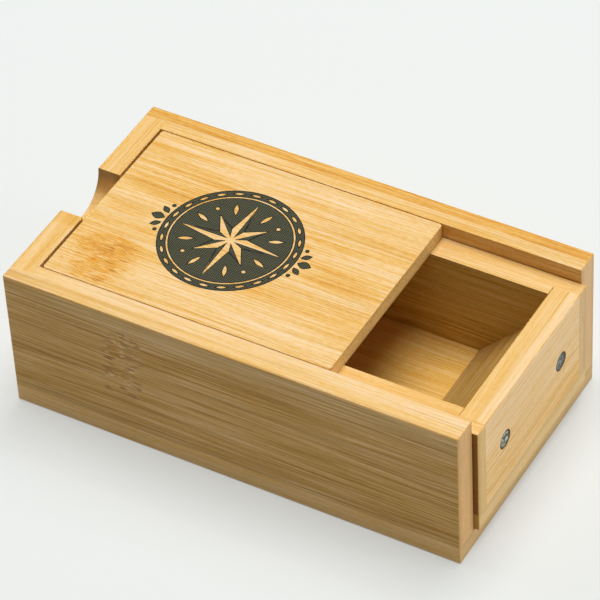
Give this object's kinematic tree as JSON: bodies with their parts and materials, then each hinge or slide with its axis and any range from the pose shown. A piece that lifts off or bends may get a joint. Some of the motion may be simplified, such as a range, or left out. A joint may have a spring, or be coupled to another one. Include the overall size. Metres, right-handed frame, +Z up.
{
  "type": "dice storage chest",
  "caption": "Bamboo dice chest: a tray open at one end holds a slide-out dice tower with an engraved front plate, a window over a slanted ramp, and magnets in its foot.",
  "frame": {"origin": "middle of the tray's underside, on the surface that the chest rests on", "axes": "+X along the length and out of the tray's open end, the way the tower slides out; +Y across, from the front wall to the back wall; +Z up, out of the tower's window"},
  "size_m": [0.1214, 0.0688, 0.0403],
  "materials": {
    "tray_bamboo": "sanded bamboo, satin clear coat",
    "tower_bamboo": "sanded bamboo, satin clear coat",
    "front_plate_bamboo": "sanded bamboo, satin clear coat",
    "engraving": "laser-darkened bamboo, matte",
    "magnet_nickel": "dull nickel plating"
  },
  "bodies": {
    "tray": {"tray_floor": "tray_bamboo", "tray_front_wall": "tray_bamboo", "tray_back_wall": "tray_bamboo", "tray_end_wall": "tray_bamboo", "tray_magnet_left": "magnet_nickel", "tray_magnet_right": "magnet_nickel"},
    "tower": {"tower_back_board": "tower_bamboo", "tower_left_side": "tower_bamboo", "tower_right_side": "tower_bamboo", "tower_front_plate": "front_plate_bamboo", "tower_foot_board": "tower_bamboo", "tower_ramp": "tower_bamboo", "tower_magnet_left": "magnet_nickel", "tower_magnet_right": "magnet_nickel"}
  },
  "joints": [
    {"name": "tower_slide", "type": "slide", "parent": "tray", "child": "tower", "axis": [1, 0, 0], "range_m": [0, 0.12]}
  ]
}
